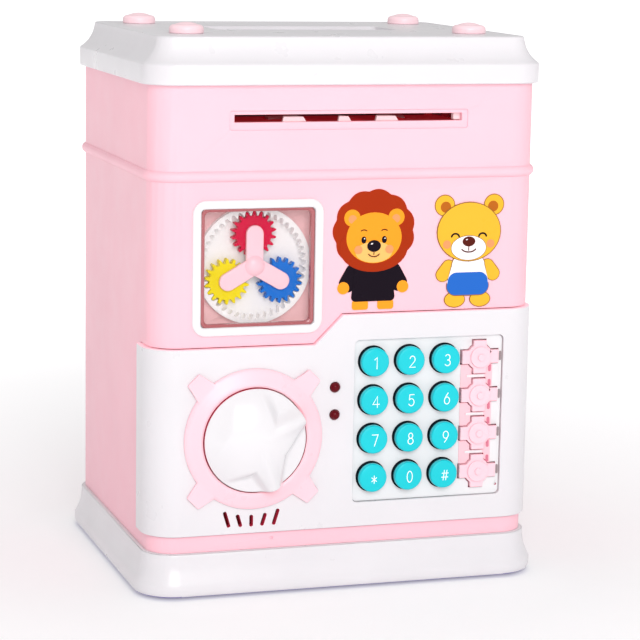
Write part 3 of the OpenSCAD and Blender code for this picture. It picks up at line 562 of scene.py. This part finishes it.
def carrier():
    """Three round-ended arms, their pivots and a domed hub."""
    low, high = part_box("carrier")
    hub = Vector(JOINTS["carrier_spin"]["pos_m"])
    bm = bmesh.new()
    arm_front, arm_back = low.y + 1.32 * MM, low.y + 2.42 * MM
    arm_width, reach = 5.4 * MM, 0.0
    for name in ("red", "yellow", "blue"):
        pivot = Vector(JOINTS[name + "_planet_spin"]["pos_m"])
        reach = math.hypot(pivot.x - hub.x, pivot.z - hub.z)
        turn = math.degrees(math.atan2(pivot.z - hub.z, pivot.x - hub.x))
        middle = (hub + pivot) / 2

        def outline(inset, middle=middle, reach=reach, turn=turn):
            w, h = reach + arm_width - 2 * inset, arm_width - 2 * inset
            return pill(middle.x, middle.z, w, h, h / 2 - 0.01 * MM, turn)

        rounded_plate(bm, outline, arm_back, arm_front, 0.35 * MM)
        pin = [(0, -arm_back), (1.2 * MM, -arm_back), (1.2 * MM, -(low.y + 5.1 * MM))]
        pin.append((0, -(low.y + 5.1 * MM)))
        lathe(bm, pin, Vector((pivot.x, 0, pivot.z)), 32)
    dome, skirt = 4.35 * MM, 3.1 * MM
    profile = [(0, -high.y), (1 * MM, -high.y), (1 * MM, -(low.y + 5.2 * MM))]
    profile += [(2.1 * MM, -(low.y + 5.2 * MM)), (2.1 * MM, -arm_back)]
    profile += [(skirt, -arm_back)]
    start = math.asin(skirt / dome)
    for i in range(9):
        a = start * (1 - i / 8)
        profile.append((dome * math.sin(a), -low.y - dome * (1 - math.cos(a))))
    lathe(bm, profile, Vector((hub.x, 0, hub.z)), 48)
    stand_in("carrier", bm, [pink_gloss])


# bearings of the two arms that keep their height out to the edge
GRIP_TIPS = (25, 290)
# start and end bearing, bearing and radius of the inner corner, depth, softness
RECESSES = (
    (34, 84, 46, 7.6, 0.6, 3.6),
    (230, 282, 264, 9.3, 0.75, 2.4),
    (-62, 18, -27, 9.6, 0.95, 2.2),
    (120, 200, 158, 10.5, 0.25, 5.0),
)


def knob():
    """A turned disc with a four-armed grip that flows out of it."""
    low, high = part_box("knob")
    axis = Vector(JOINTS["knob_turn"]["pos_m"])
    disc, face, crown = 16.0 * MM, -DOOR_FRONT + 2.75 * MM, -low.y
    shaft = 6.0 * MM
    bm = bmesh.new()
    around, out = 240, 40

    def height(r, a):
        """How far the knob stands out at radius r and angle a."""
        x, z = r * math.cos(a), r * math.sin(a)
        fall = 0.0
        for start, end, turn, apex, share, soft in RECESSES:
            at = math.radians(turn)
            apex_x, apex_z = apex * MM * math.cos(at), apex * MM * math.sin(at)
            inside = 99.0
            for bearing, side in ((start, 1), (end, -1)):
                b = math.radians(bearing)
                dx = disc * math.cos(b) - apex_x
                dz = disc * math.sin(b) - apex_z
                across = (dx * (z - apex_z) - dz * (x - apex_x)) / math.hypot(dx, dz)
                inside = min(inside, side * across)
            t = min(1.0, max(0.0, inside / (soft * MM) + 0.3))
            fall = max(fall, share * t * t * (3 - 2 * t))
        tip = max(
            math.exp(-(((math.degrees(a) - bearing + 180) % 360 - 180) / 13) ** 2)
            for bearing in GRIP_TIPS
        )
        dome = crown - (crown - face) * (r / disc) ** 2.4 * (1 - 0.7 * tip)
        return dome + (face - dome) * fall

    rings = [[bm.verts.new((axis.x, -crown, axis.z))]]
    for k in range(1, out + 1):
        r = (disc - 0.25 * MM) * k / out
        row = []
        for i in range(around):
            a = TAU * i / around
            place = (axis.x + r * math.cos(a), -height(r, a), axis.z + r * math.sin(a))
            row.append(bm.verts.new(place))
        rings.append(row)
    for drop, grow in ((0.1, 0.15), (0.3, 0.25)):
        row = []
        for i in range(around):
            a = TAU * i / around
            r = disc - 0.25 * MM + grow * MM
            y = -height(disc - 0.25 * MM, a) + drop * MM
            row.append(
                bm.verts.new((axis.x + r * math.cos(a), y, axis.z + r * math.sin(a)))
            )
        rings.append(row)
    rim = rings[-1]
    for r, y in (
        (disc, DOOR_FRONT - 0.3 * MM),
        (shaft, DOOR_FRONT - 0.3 * MM),
        (shaft, high.y),
    ):
        row = []
        for i in range(around):
            a = TAU * i / around
            row.append(
                bm.verts.new((axis.x + r * math.cos(a), y, axis.z + r * math.sin(a)))
            )
        rings.append(row)
    rings.append([bm.verts.new((axis.x, high.y, axis.z))])
    # the knob's side below its rim takes painted red shade, as the gap round the knob
    for a, b in zip(rings, rings[1:]):
        bridge(bm, a, b, around, int(a is rim))
    stand_in("knob", bm, [white_gloss, painted_red_gap_shade], 50)


window_frame()
window_pane()
carrier()
knob()

PLAIN_FINISHES = {
    "led_lenses": red_lamp,
    "note_guide": painted_red_shade_glow,
    "knob_cam": white_matt,
    "motor_pinion": white_matt,
    "pinch_rollers": white_matt,
    "feed_rollers": wheel_rubber,
    "rubber_feet": foot_rubber,
    "key_membrane": silicone,
    "key_board": solder_mask,
    "power_board": solder_mask,
    "batteries": cell_sleeve,
    "motors": tin_can,
    "solenoid": tin_can,
    "speaker": speaker_cone,
    "power_switch": black_matt,
    "reset_button": black_matt,
    "shell_screws": plated,
    "battery_screw": plated,
    "door_screws": plated,
    "hinge_pins": plated,
    "battery_contacts": plated,
    "feed_shaft": plated,
    "plunger": plated,
}
for node, material in PLAIN_FINISHES.items():
    mesh = frame["nodes"][node].data
    mesh.materials.clear()
    mesh.materials.append(material)


# bearing in degrees and reach in mm of a function key's four teeth
COG_TEETH = ((0, 6.2), (90, 5.2), (180, 5.9), (270, 5.2))


def cog_outline(x, z, grow):
    """The front outline of a function key at (x, z), grown by grow mm."""
    hub, half = 4.1 + grow, 2.1 + grow
    points = []
    for i in range(360):
        a = TAU * i / 360
        reach = hub
        for bearing, long in COG_TEETH:
            off = a - math.radians(bearing)
            along, aside = math.cos(off), abs(math.sin(off))
            if along > 0:
                edge = min((long + grow) / along, half / max(aside, 1e-6))
                reach = max(reach, edge)
        points.append((x + reach * math.cos(a) * MM, z + reach * math.sin(a) * MM))
    return points


def function_strip():
    """The pink inlay between the four function keys; its small notches, and the dark marks beside the keys, are
    flat pads of painted shade.
    """
    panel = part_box("keypad_panel")[0].y
    middles = []
    for number in range(1, 5):
        low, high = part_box(f"function_key_{number}")
        middles.append((high.x - 6.2 * MM, (low.z + high.z) / 2))
    left, right = -6.1 * MM, 4.6 * MM
    strip, bars, pit_shades, slots = (bmesh.new() for _ in range(4))
    for (ux, uz), (vx, vz) in zip(middles, middles[1:]):
        above = [
            c for c in cog_outline(ux, uz, 0.3) if left < c[0] - ux < right and c[1] < uz
        ]
        below = [
            c for c in cog_outline(vx, vz, 0.3) if left < c[0] - vx < right and c[1] > vz
        ]
        above.sort(key=lambda c: math.atan2(c[1] - uz, c[0] - ux))
        below.sort(key=lambda c: math.atan2(c[1] - vz, c[0] - vx))
        slab(strip, above + below, panel + 0.05 * MM, panel - 0.25 * MM)
        bar = pill(ux - 1.1 * MM, (uz + vz) / 2, 6.0 * MM, 0.8 * MM, 0.38 * MM)
        slab(bars, bar, panel + 0.05 * MM, panel - 0.5 * MM)
    # pits and slots are flat pads of painted shade beside the function keys
    for number, (x, z) in enumerate(middles):
        for side in (1, -1):
            if 0 <= number - side < 4:
                pit_shade = pill(x + 3.6 * MM, z + side * 3.7 * MM, 1.0 * MM, 2.3 * MM, 0.5 * MM)
                slab(pit_shades, pit_shade, panel + 0.05 * MM, panel - 0.29 * MM)
        # a flat pad of painted shade, not a hole
        slot = pill(x + 7.1 * MM, z, 0.8 * MM, 3.0 * MM, 0.38 * MM)
        slab(slots, slot, panel + 0.05 * MM, panel - 0.04 * MM)
    for name, bm, material in (
        ("function_strip", strip, pink_strip),
        ("function_bars", bars, white_gloss),
        ("function_pit_shade", pit_shades, painted_notch_shade),
        ("function_slot_shade", slots, painted_slot_shade),
    ):
        add_piece(name, bm, [material], "door", "pink_trim")


# the six sides of a wedge whose corners 0 to 3 are in front and 4 to 7 behind
WEDGE_FACES = (
    (0, 1, 2, 3),
    (7, 6, 5, 4),
    (0, 4, 5, 1),
    (1, 5, 6, 2),
    (2, 6, 7, 3),
    (3, 7, 4, 0),
)
# where each pale rib in the note slot starts and ends along X, in mm
NOTE_RIBS = ((-21.0, -13.3), (-3.4, 1.0), (8.6, 16.1))


def behind_slots():
    """Red gauze behind the sound slots; pale ribs and a stub in the note slot."""
    bm = bmesh.new()
    x, z = JOINTS["knob_turn"]["pos_m"][0] - 0.3 * MM, 24.0 * MM
    back = DOOR_FRONT + 2.9 * MM
    slab(bm, pill(x, z, 21 * MM, 8 * MM, 2 * MM), back, back - 0.35 * MM)
    add_piece("slot_gauze", bm, [red_gauze], "door", "roller_rubber")
    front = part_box("note_guide")[0].y
    bm = bmesh.new()
    for start, end in NOTE_RIBS:
        x0, x1 = start * MM, end * MM
        floor, top = 144.6 * MM, 146.3 * MM
        near, far = front + 0.3 * MM, front + 3.4 * MM
        corners = []
        for a, b, y in ((x0, x1, near), (x0 + 0.7 * MM, x1 - 1.2 * MM, far)):
            corners += [(a, y, floor), (b, y, floor)]
            corners += [(b - 1.1 * MM, y, top), (a + 0.4 * MM, y, top)]
        verts = [bm.verts.new(c) for c in corners]
        for quad in WEDGE_FACES:
            bm.faces.new([verts[k] for k in quad])
    stub = pill(34.9 * MM, 146.05 * MM, 2.4 * MM, 2.1 * MM, 0.2 * MM)
    slab(bm, stub, front + 2 * MM, front)
    soften(add_piece("note_ribs", bm, [pale_guide], "case", "white_inner"), 0.12, 2, True)


function_strip()
behind_slots()


# ---------- number keys ----------

GLYPHS = {
    "1": [[(0.22, 0.8), (0.56, 1.0), (0.56, 0.0)]],
    "2": [arc(0.5, 0.7, 0.37, 0.3, 165, -38) + [(0.1, 0.0), (0.92, 0.0)]],
    "3": [arc(0.46, 0.75, 0.34, 0.25, 150, -90), arc(0.46, 0.26, 0.4, 0.26, 90, -150)],
    "4": [[(0.72, 0.0), (0.72, 1.0), (0.06, 0.28), (1.0, 0.28)]],
    "5": [[(0.86, 1.0), (0.24, 1.0), (0.17, 0.54)] + arc(0.47, 0.32, 0.4, 0.32, 125, -150)],
    "6": [[(0.68, 1.0), (0.38, 0.72), (0.19, 0.46)], arc(0.52, 0.32, 0.38, 0.32, 0, 360)],
    "7": [[(0.08, 1.0), (0.92, 1.0), (0.42, 0.0)]],
    "8": [arc(0.5, 0.76, 0.29, 0.24, 0, 360), arc(0.5, 0.26, 0.38, 0.26, 0, 360)],
    "9": [[(0.32, 0.0), (0.62, 0.28), (0.81, 0.54)], arc(0.48, 0.68, 0.38, 0.32, 0, 360)],
    "0": [arc(0.5, 0.5, 0.38, 0.5, 0, 360)],
    "star": [
        [(0.5 + 0.4 * c, 0.42 + 0.34 * s), (0.5 - 0.4 * c, 0.42 - 0.34 * s)]
        for c, s in ((0.0, 1.0), (0.87, 0.5), (0.87, -0.5))
    ],
    "hash": [
        [(0.42, 0.9), (0.26, 0.02)],
        [(0.8, 0.9), (0.64, 0.02)],
        [(0.1, 0.64), (1.0, 0.64)],
        [(0.04, 0.28), (0.94, 0.28)],
    ],
}
GLYPH_SIZE = (2.25 * MM, 3.5 * MM)
GLYPH_LINE = 0.3 * MM
GLYPH_SHIFT = (0.2 * MM, -0.15 * MM)


def number_key(node, glyph):
    """A turned key with a soft edge and a raised digit."""
    low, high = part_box(node)
    place = Vector(((low.x + high.x) / 2, 0, (low.z + high.z) / 2))
    top = -(low.y)
    foot = -(high.y)
    flange = (high.x - low.x) / 2
    radius = flange - 0.5 * MM
    bm = bmesh.new()
    profile = [(0, foot), (flange, foot), (flange, foot + 1.2 * MM)]
    profile += [(radius, foot + 1.2 * MM), (radius, top - 1.9 * MM)]
    profile += [(radius, top - 0.75 * MM)]
    profile += [
        (
            radius - 0.7 * MM + 0.7 * MM * math.cos(a),
            top - 0.75 * MM + 0.6 * MM * math.sin(a),
        )
        for a in (math.radians(9 * i) for i in range(1, 11))
    ]
    profile += [(radius * 0.5, top - 0.03 * MM), (0, top)]
    lathe(bm, profile, place, 64)
    # the key's lower side takes painted dark shade, as the gap round it
    for face in bm.faces:
        if -face.calc_center_median().y < top - 1.9 * MM:
            face.material_index = 2
    for path in GLYPHS[glyph]:
        placed = [
            (
                place.x + GLYPH_SHIFT[0] + (u - 0.5) * GLYPH_SIZE[0],
                place.z + GLYPH_SHIFT[1] + (v - 0.5) * GLYPH_SIZE[1],
            )
            for u, v in path
        ]
        ridge(bm, placed, GLYPH_LINE, 0.14 * MM, low.y + 0.07 * MM, 1)
    stand_in(node, bm, [key_aqua, digit_white, painted_dark_gap_shade], 30)


def ridge(bm, points, width, height, base, material):
    """A raised, rounded line along points, with round ends if it is open."""
    closed = math.dist(points[0], points[-1]) < 1e-6
    if closed:
        points = points[:-1]
    count = len(points)
    stations = []
    for i, (x, z) in enumerate(points):
        before = points[i - 1] if closed or i else None
        after = points[(i + 1) % count] if closed or i < count - 1 else None
        turns = []
        for (ax, az), (bx, bz) in ((before or (x, z), (x, z)), ((x, z), after or (x, z))):
            length = math.hypot(bx - ax, bz - az)
            if length > 1e-9:
                turns.append(((bx - ax) / length, (bz - az) / length))
        tx, tz = (sum(t[k] for t in turns) / len(turns) for k in (0, 1))
        size = math.hypot(tx, tz)
        tx, tz = tx / size, tz / size
        stations.append((x, z, tx, tz, 1 / max(size, 0.6)))
    if not closed:
        ends = []
        for at, sign in ((0, -1), (-1, 1)):
            x, z, tx, tz, _ = stations[at]
            end = []
            for k in (1, 2, 2.8):
                a = math.radians(30 * k)
                u = x + sign * tx * width / 2 * math.sin(a)
                v = z + sign * tz * width / 2 * math.sin(a)
                end.append((u, v, tx, tz, math.cos(a)))
            ends.append(end)
        stations = ends[0][::-1] + stations + ends[1]
    loops = []
    for x, z, tx, tz, stretch in stations:
        loop = [(x + tz * width / 2 * stretch, base + height, z - tx * width / 2 * stretch)]
        for k in range(7):
            a = math.pi * k / 6
            aside = width / 2 * stretch * math.cos(a)
            rise = height * math.sin(a) * min(1.0, stretch)
            loop.append((x + tz * aside, base - rise, z - tx * aside))
        loop.append((x - tz * width / 2 * stretch, base + height, z + tx * width / 2 * stretch))
        loops.append(loop)
    loft(bm, loops, material, closed)


for glyph in GLYPHS:
    number_key("key_" + glyph, glyph)


# ---------- stickers ----------

INKS = {
    "rust": (0.36, 0.028, 0.004),
    "orange": (0.88, 0.32, 0.02),
    "honey": (0.82, 0.44, 0.035),
    "cream": (0.88, 0.48, 0.14),
    "tan": (0.45, 0.12, 0.012),
    "ink": (0.008, 0.004, 0.009),
    "cocoa": (0.09, 0.012, 0.008),
    "blush": (0.90, 0.30, 0.12),
    "snow": (0.9, 0.84, 0.85),
    "sky": (0.02, 0.13, 0.52),
    "line": (0.28, 0.13, 0.03),
}
ink_names = list(INKS)
inks = [
    finish_of("ink_" + name, colour, 0.3, grain=0.003, mottle=0.02, wave=0.0, gloss=0.06)
    for name, colour in INKS.items()
]


def sticker(name, x, z, layers, **facts):
    """A printed sticker: flat shapes in mm about (x, z), the first at the back."""
    bm = bmesh.new()
    for depth, (ink, points) in enumerate(layers):
        outline = [(x + u * MM, z + v * MM) for u, v in points]
        front = BODY_FRONT - (0.12 + 0.012 * depth) * MM
        slab(bm, outline, BODY_FRONT + 0.02 * MM, front, ink_names.index(ink))
    return add_piece(name, bm, inks, "case", "sticker_print", **facts)


def both_sides(ink, make):
    """The same shape on the left and on the right."""
    return [(ink, make(-1)), (ink, make(1))]


def scalloped(x, z, rx, rz, lobes, depth, steps=144):
    """An oval whose edge swells into lobes."""
    points = []
    for i in range(steps):
        a = TAU * i / steps
        swell = 1 + depth * (abs(math.sin(lobes * a / 2)) - 0.6)
        points.append((x + rx * swell * math.cos(a), z + rz * swell * math.sin(a)))
    return points


def trunk(top, bottom, high, low, r):
    """A body outline that widens or narrows downwards, with round corners."""
    corners = ((top / 2, high), (-top / 2, high), (-bottom / 2, low), (bottom / 2, low))
    points = []
    for k, (u, v) in enumerate(corners):
        side, up = (1 if u > 0 else -1), (1 if k < 2 else -1)
        points += arc(u - side * r, v - up * r, r, r, 90 * k, 90 * k + 90, 8)
    return points


LION = [("rust", scalloped(0, 0, 13.0, 12.6, 11, 0.06))]
LION += both_sides("ink", lambda s: pill(s * 7.3, -14.3, 5.4, 9.4, 2.6, s * 30))
LION += both_sides("orange", lambda s: oval(s * 9.6, -17.4, 1.9))
LION += both_sides("orange", lambda s: pill(s * 4.1, -22.8, 5.2, 2.9, 0.8))
LION += [("ink", trunk(12.0, 14.0, -9.5, -21.7, 1.4)), ("rust", oval(0, -5.2, 11.0, 7.4))]
LION += both_sides("orange", lambda s: oval(s * 7.1, 4.1, 2.6))
LION += both_sides("blush", lambda s: oval(s * 7.0, 3.7, 1.3))
LION += [("orange", oval(0, -2.1, 8.9, 7.8)), ("cream", oval(0, -6.5, 5.9, 3.2))]
LION += both_sides("ink", lambda s: oval(s * 3.3, -2.7, 0.8, 1.1))
LION += both_sides("snow", lambda s: oval(s * 3.3 + 0.2, -2.3, 0.2))
LION += both_sides("cocoa", lambda s: stroke(arc(s * 3.3, -0.2, 1.0, 0.6, 150, 30, 8), 0.3))
LION += both_sides("blush", lambda s: oval(s * 5.0, -5.7, 1.3))
LION += [("ink", oval(0, -4.6, 2.2, 1.8)), ("snow", oval(-0.7, -3.9, 0.4, 0.2, 20))]
LION += [("cocoa", stroke([(0, -6.2), (0, -7.2)], 0.26))]
LION += [("cocoa", stroke(arc(0, -6.7, 1.8, 1.2, 200, 340, 12), 0.3))]

BEAR = both_sides("line", lambda s: oval(s * 8.1, 7.9, 3.35))
BEAR += both_sides("honey", lambda s: oval(s * 8.1, 7.9, 3.1))
BEAR += both_sides("tan", lambda s: oval(s * 7.8, 7.4, 1.7))
BEAR += both_sides("line", lambda s: pill(s * 7.4, -12.4, 4.6, 7.6, 2.3, s * 38))
BEAR += both_sides("honey", lambda s: pill(s * 7.4, -12.4, 4.15, 7.2, 2.05, s * 38))
BEAR += both_sides("line", lambda s: oval(s * 4.2, -21.5, 3.5, 2.5))
BEAR += both_sides("honey", lambda s: oval(s * 4.2, -21.5, 3.25, 2.25))
BEAR += [("line", trunk(11.2, 14.2, -7.5, -20.4, 3.2))]
BEAR += [("snow", trunk(10.7, 13.7, -7.7, -19.0, 3.0))]
BEAR += [("sky", trunk(13.3, 13.9, -13.0, -20.1, 2.9))]
BEAR += [("line", oval(0, -0.4, 10.6, 9.3)), ("honey", oval(0, -0.4, 10.35, 9.05))]
BEAR += [("line", oval(0, -5.4, 5.9, 3.95)), ("snow", oval(0, -5.4, 5.7, 3.75))]
BEAR += both_sides("ink", lambda s: stroke(arc(s * 4.5, -2.0, 1.25, 1.1, 170, 10, 10), 0.55))
BEAR += both_sides("blush", lambda s: oval(s * 7.2, -4.2, 1.3))
BEAR += [("cocoa", oval(0, -3.4, 2.1, 1.55)), ("snow", oval(-0.7, -2.8, 0.35, 0.18, 20))]
BEAR += [("cocoa", stroke([(0, -4.8), (0, -6.2)], 0.26))]
BEAR += [("cocoa", stroke(arc(0, -5.2, 2.5, 1.5, 205, 335, 12), 0.38))]

sticker_low, sticker_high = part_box("stickers")
lion_x = sticker_low.x + 12.2 * MM
bear_x = sticker_high.x - 10.8 * MM
sticker("lion_sticker", lion_x, 111.5 * MM, LION, replaces=["stickers"])
sticker("bear_sticker", bear_x - 0.9 * MM, 110.9 * MM, BEAR)


# ---------- stage, lights and camera ----------

CAMERA_AIM = Vector((7.4, 2.95, 75.4)) * MM
CAMERA_AZIMUTH = -18.0
CAMERA_ELEVATION = 9.77
CAMERA_ROLL = 1.0
CAMERA_DISTANCE = 0.7755
CAMERA_LENS = 133.3


def add_camera():
    """The camera that was fitted to the photo."""
    azimuth, elevation, roll = (
        math.radians(a) for a in (CAMERA_AZIMUTH, CAMERA_ELEVATION, CAMERA_ROLL)
    )
    back = Vector(
        (
            math.sin(azimuth) * math.cos(elevation),
            -math.cos(azimuth) * math.cos(elevation),
            math.sin(elevation),
        )
    )
    right = Vector((0, 0, 1)).cross(back).normalized()
    up = back.cross(right)
    level = Matrix((right, up, back)).transposed()
    data = bpy.data.cameras.new("camera")
    data.lens = CAMERA_LENS
    data.sensor_width = 36.0
    data.clip_start = 0.01
    data.clip_end = 50.0
    camera = bpy.data.objects.new("camera", data)
    bpy.context.scene.collection.objects.link(camera)
    camera.matrix_world = (
        Matrix.Translation(CAMERA_AIM + back * CAMERA_DISTANCE)
        @ (level @ Matrix.Rotation(roll, 3, "Z")).to_4x4()
    )
    bpy.context.scene.camera = camera


def add_softbox(name, place, aim, size, power):
    """A white area light at place, turned towards aim."""
    data = bpy.data.lights.new(name, "AREA")
    data.shape = "RECTANGLE"
    data.size, data.size_y = size
    data.energy = power
    light = bpy.data.objects.new(name, data)
    bpy.context.scene.collection.objects.link(light)
    light.location = place
    light.rotation_mode = "QUATERNION"
    light.rotation_quaternion = (Vector(aim) - Vector(place)).to_track_quat("-Z", "Y")


FLOOR_GLOW_NEAR, FLOOR_GLOW_FAR = 0.27, 0.68
SKY_LOW, SKY_HIGH = 0.6, 0.76


def add_stage():
    """A pale floor that glows more further out, under a softly graded sky."""
    bm = bmesh.new()
    bmesh.ops.create_grid(bm, x_segments=8, y_segments=8, size=12.0)
    mesh = bpy.data.meshes.new("floor")
    bm.to_mesh(mesh)
    bm.free()
    paper = finish_of("paper", (0.70, 0.69, 0.70), 0.8, 0.03, 0.02, 2.0, 0.004, 0.0)
    shader = paper.node_tree.nodes["Principled BSDF"]
    shader.inputs["Emission Color"].default_value = (1, 1, 1, 1)
    tree = paper.node_tree
    place = tree.nodes.new("ShaderNodeTexCoord")
    reach = tree.nodes.new("ShaderNodeVectorMath")
    reach.operation = "LENGTH"
    spread = tree.nodes.new("ShaderNodeMapRange")
    spread.inputs["From Min"].default_value = 0.1
    spread.inputs["From Max"].default_value = 0.6
    spread.inputs["To Min"].default_value = FLOOR_GLOW_NEAR
    spread.inputs["To Max"].default_value = FLOOR_GLOW_FAR
    tree.links.new(place.outputs["Object"], reach.inputs[0])
    tree.links.new(reach.outputs["Value"], spread.inputs["Value"])
    tree.links.new(spread.outputs["Result"], shader.inputs["Emission Strength"])
    mesh.materials.append(paper)
    floor = bpy.data.objects.new("floor", mesh)
    bpy.context.scene.collection.objects.link(floor)

    world = bpy.data.worlds.new("studio")
    world.use_nodes = True
    tree = world.node_tree
    place = tree.nodes.new("ShaderNodeTexCoord")
    split = tree.nodes.new("ShaderNodeSeparateXYZ")
    grade = tree.nodes.new("ShaderNodeMapRange")
    grade.inputs["From Min"].default_value = 0.0
    grade.inputs["From Max"].default_value = 1.0
    grade.inputs["To Min"].default_value = SKY_LOW
    grade.inputs["To Max"].default_value = SKY_HIGH
    tree.links.new(place.outputs["Generated"], split.inputs["Vector"])
    tree.links.new(split.outputs["Z"], grade.inputs["Value"])
    back = tree.nodes["Background"]
    back.inputs["Color"].default_value = (1, 1, 1, 1)
    tree.links.new(grade.outputs["Result"], back.inputs["Strength"])
    bpy.context.scene.world = world
    bpy.context.scene.view_settings.view_transform = "Standard"


add_stage()
add_softbox("key", (-0.22, -1.45, 0.75), (0, 0, 0.08), (0.8, 0.8), 14)
add_camera()
